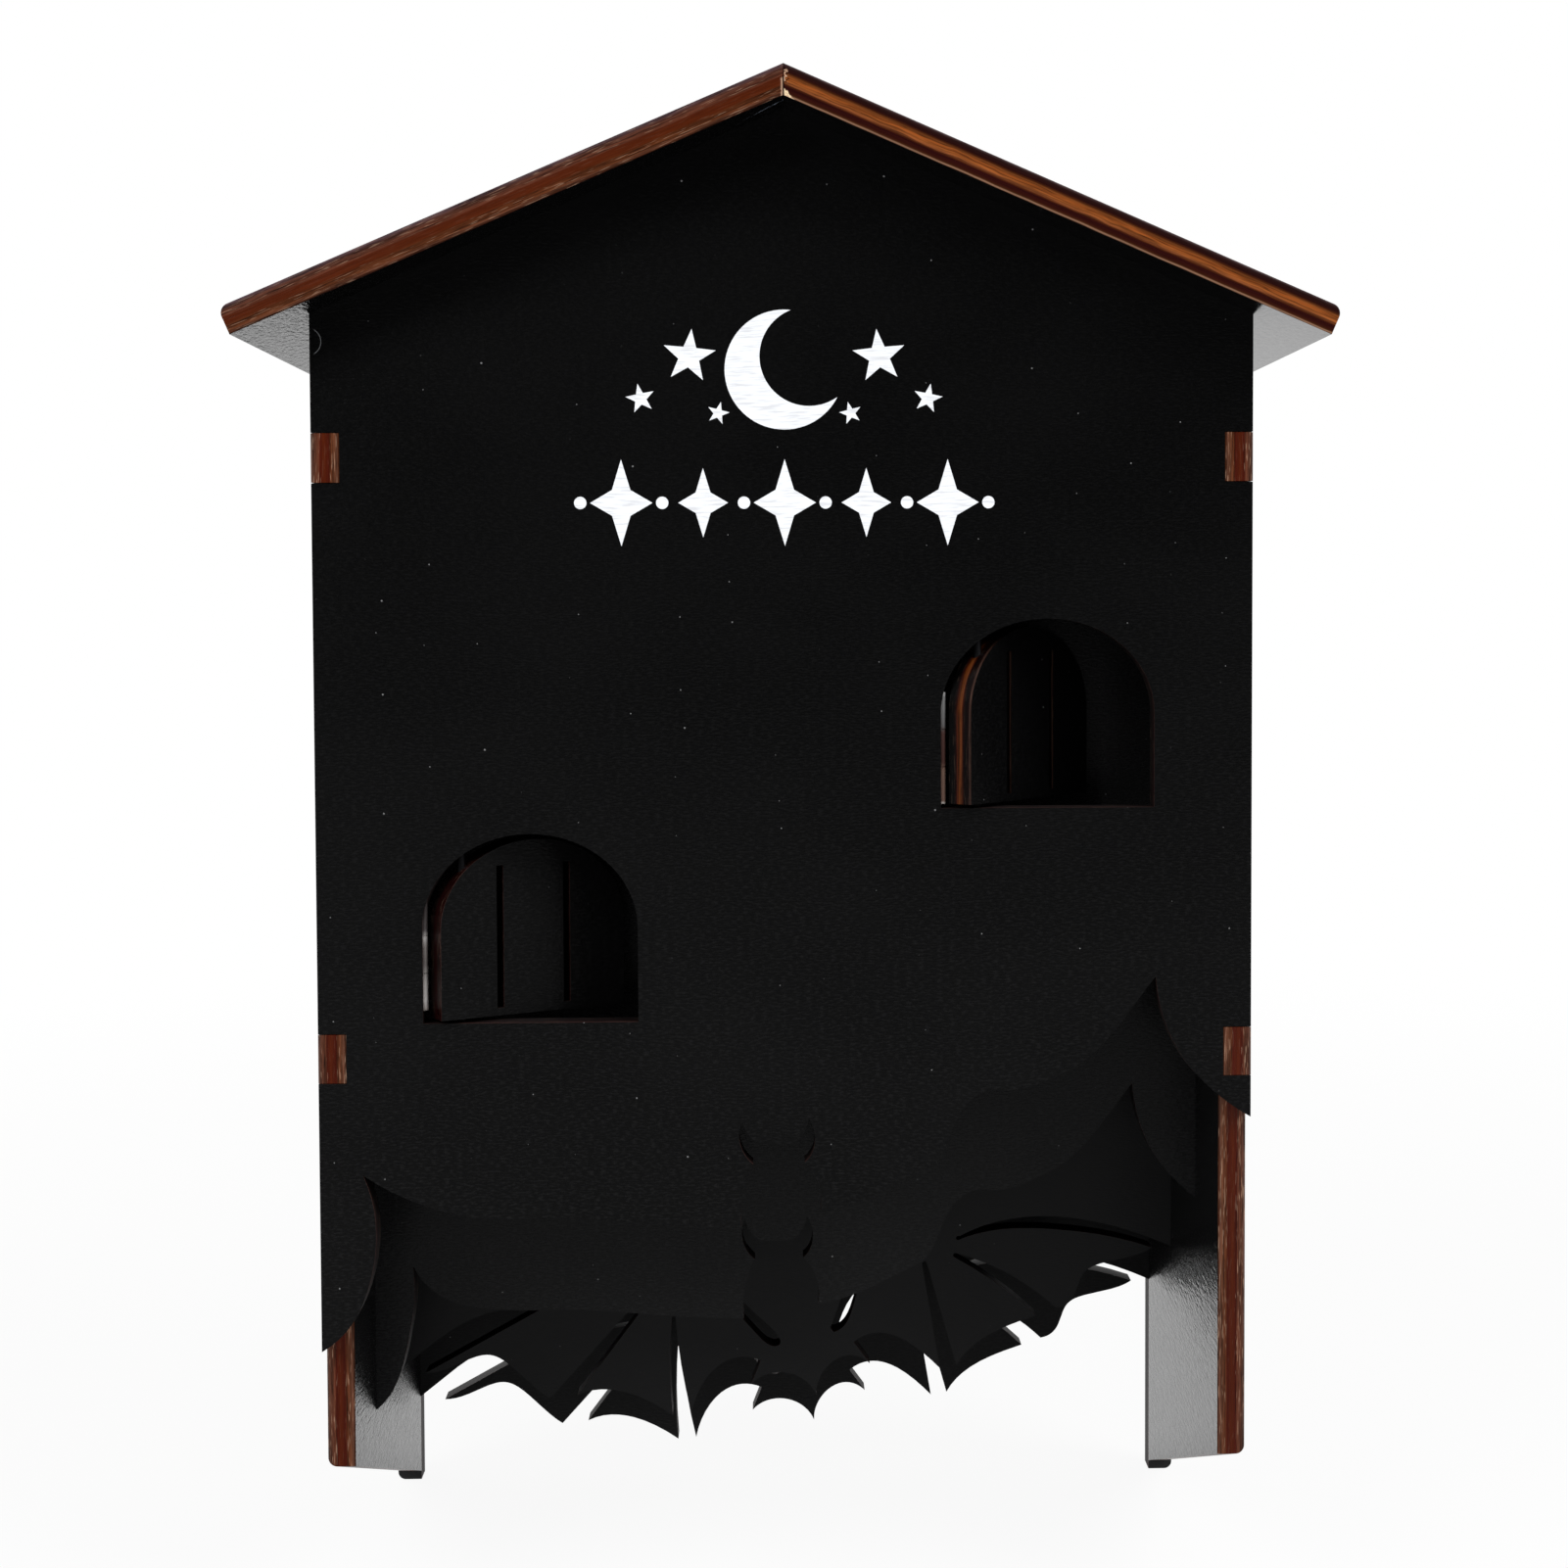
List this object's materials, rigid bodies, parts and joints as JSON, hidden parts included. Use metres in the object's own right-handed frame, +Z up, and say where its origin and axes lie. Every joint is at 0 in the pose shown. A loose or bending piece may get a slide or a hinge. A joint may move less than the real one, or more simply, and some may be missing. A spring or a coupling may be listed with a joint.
{
  "type": "bat box",
  "caption": "Gabled plywood bat box for a wall, open below, with roosting chambers between baffles cut as a flying bat and plank doors that swing in its front.",
  "frame": {"origin": "centre of the hanging hole at the back panel's rear face, which lies against the wall", "axes": "+X to the right of someone looking at the front, +Y into the wall, +Z up"},
  "size_m": [0.246, 0.1313, 0.3585],
  "materials": {
    "painted_plywood": "satin black paint, bare brown edges",
    "roof_plywood": "satin black paint on the faces, stained edges",
    "pin_steel": "black oxide"
  },
  "bodies": {
    "box": {"front_panel": "painted_plywood", "front_baffle": "painted_plywood", "rear_baffle": "painted_plywood", "back_panel": "painted_plywood", "left_side": "painted_plywood", "right_side": "painted_plywood", "left_roof_board": "roof_plywood", "right_roof_board": "roof_plywood"},
    "left_door": {"left_door": "painted_plywood", "left_door_pins": "pin_steel"},
    "right_door": {"right_door": "painted_plywood", "right_door_pins": "pin_steel"}
  },
  "joints": [
    {"name": "left_door_hinge", "type": "hinge", "parent": "box", "child": "left_door", "pos_m": [-0.07435, -0.11313, -0.1617], "axis": [0, 0, 1], "range_deg": [-80.5, 19.5]},
    {"name": "right_door_hinge", "type": "hinge", "parent": "box", "child": "right_door", "pos_m": [0.04385, -0.11313, -0.1132], "axis": [0, 0, 1], "range_deg": [-98.3, 1.7]}
  ]
}
